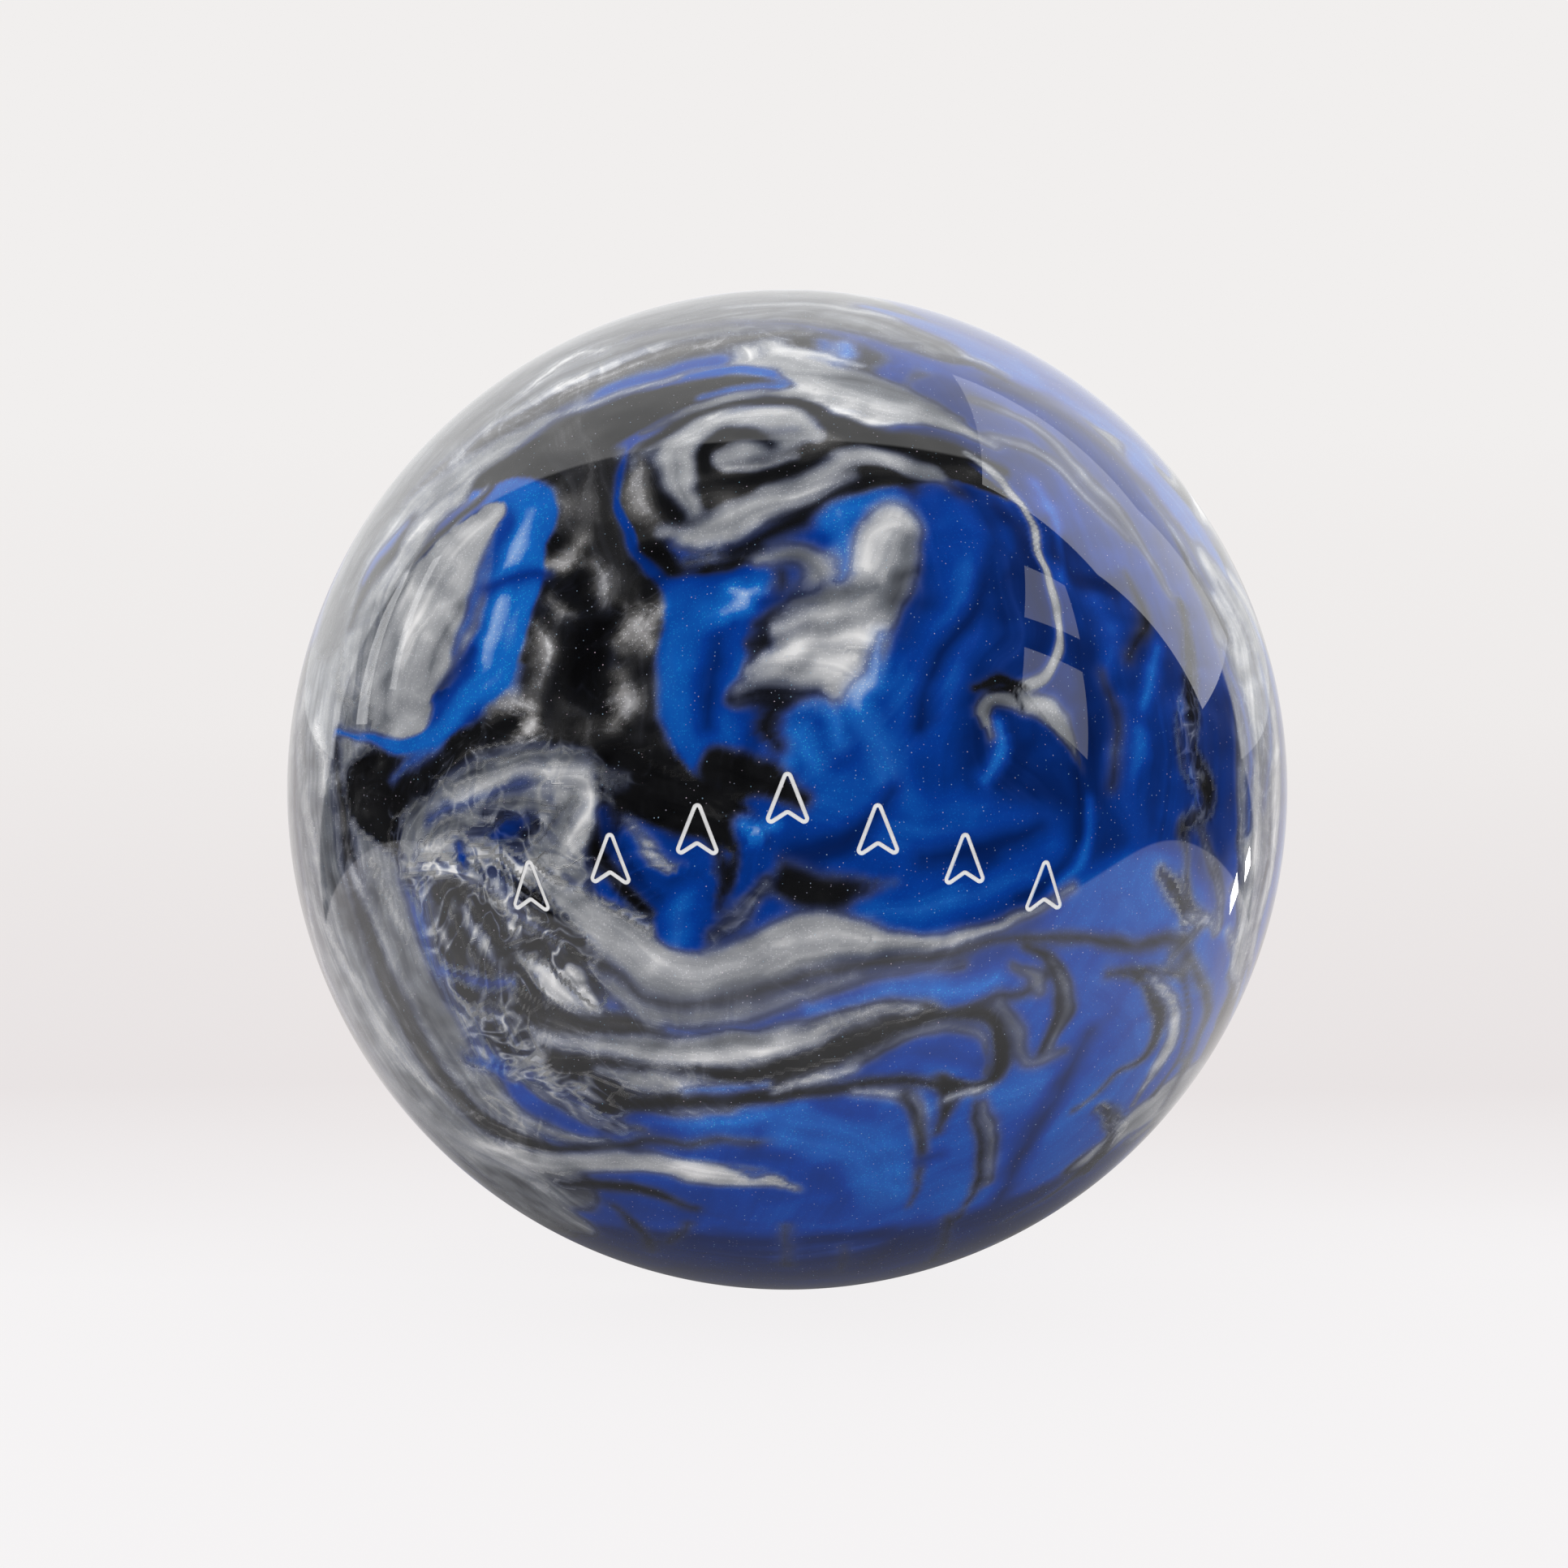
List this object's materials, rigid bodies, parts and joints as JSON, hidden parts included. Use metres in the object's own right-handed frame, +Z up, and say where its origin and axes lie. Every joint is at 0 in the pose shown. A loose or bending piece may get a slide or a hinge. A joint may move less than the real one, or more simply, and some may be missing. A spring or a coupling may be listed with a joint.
{
  "type": "bowling ball",
  "caption": "Undrilled ten-pin bowling ball: glossy marbled cover with an engraved row of outlined arrows, filler core and pancake weight block.",
  "frame": {"origin": "the ball's lowest point, where it touches what it stands on", "axes": "+Z up, along the axis of the weight block and the locator pin; -Y out of the front, through the middle of the engraved mark; +X to the right as seen from the front"},
  "size_m": [0.2172, 0.2172, 0.2172],
  "materials": {
    "cover_resin": "polished pearl resin, deep blue, black and silver marbling",
    "filler_resin": "cast filled resin",
    "block_resin": "cast dense resin",
    "dowel_resin": "cast resin",
    "pin_resin": "polished resin",
    "mark_paint": "paint in an engraved recess"
  },
  "bodies": {
    "root": {"coverstock": "cover_resin", "filler_core": "filler_resin", "weight_block": "block_resin", "core_dowel": "dowel_resin", "locator_pin": "pin_resin", "cg_mark_paint": "mark_paint", "arrow_paint_1": "mark_paint", "arrow_paint_2": "mark_paint", "arrow_paint_3": "mark_paint", "arrow_paint_4": "mark_paint", "arrow_paint_5": "mark_paint", "arrow_paint_6": "mark_paint", "arrow_paint_7": "mark_paint"}
  },
  "joints": []
}
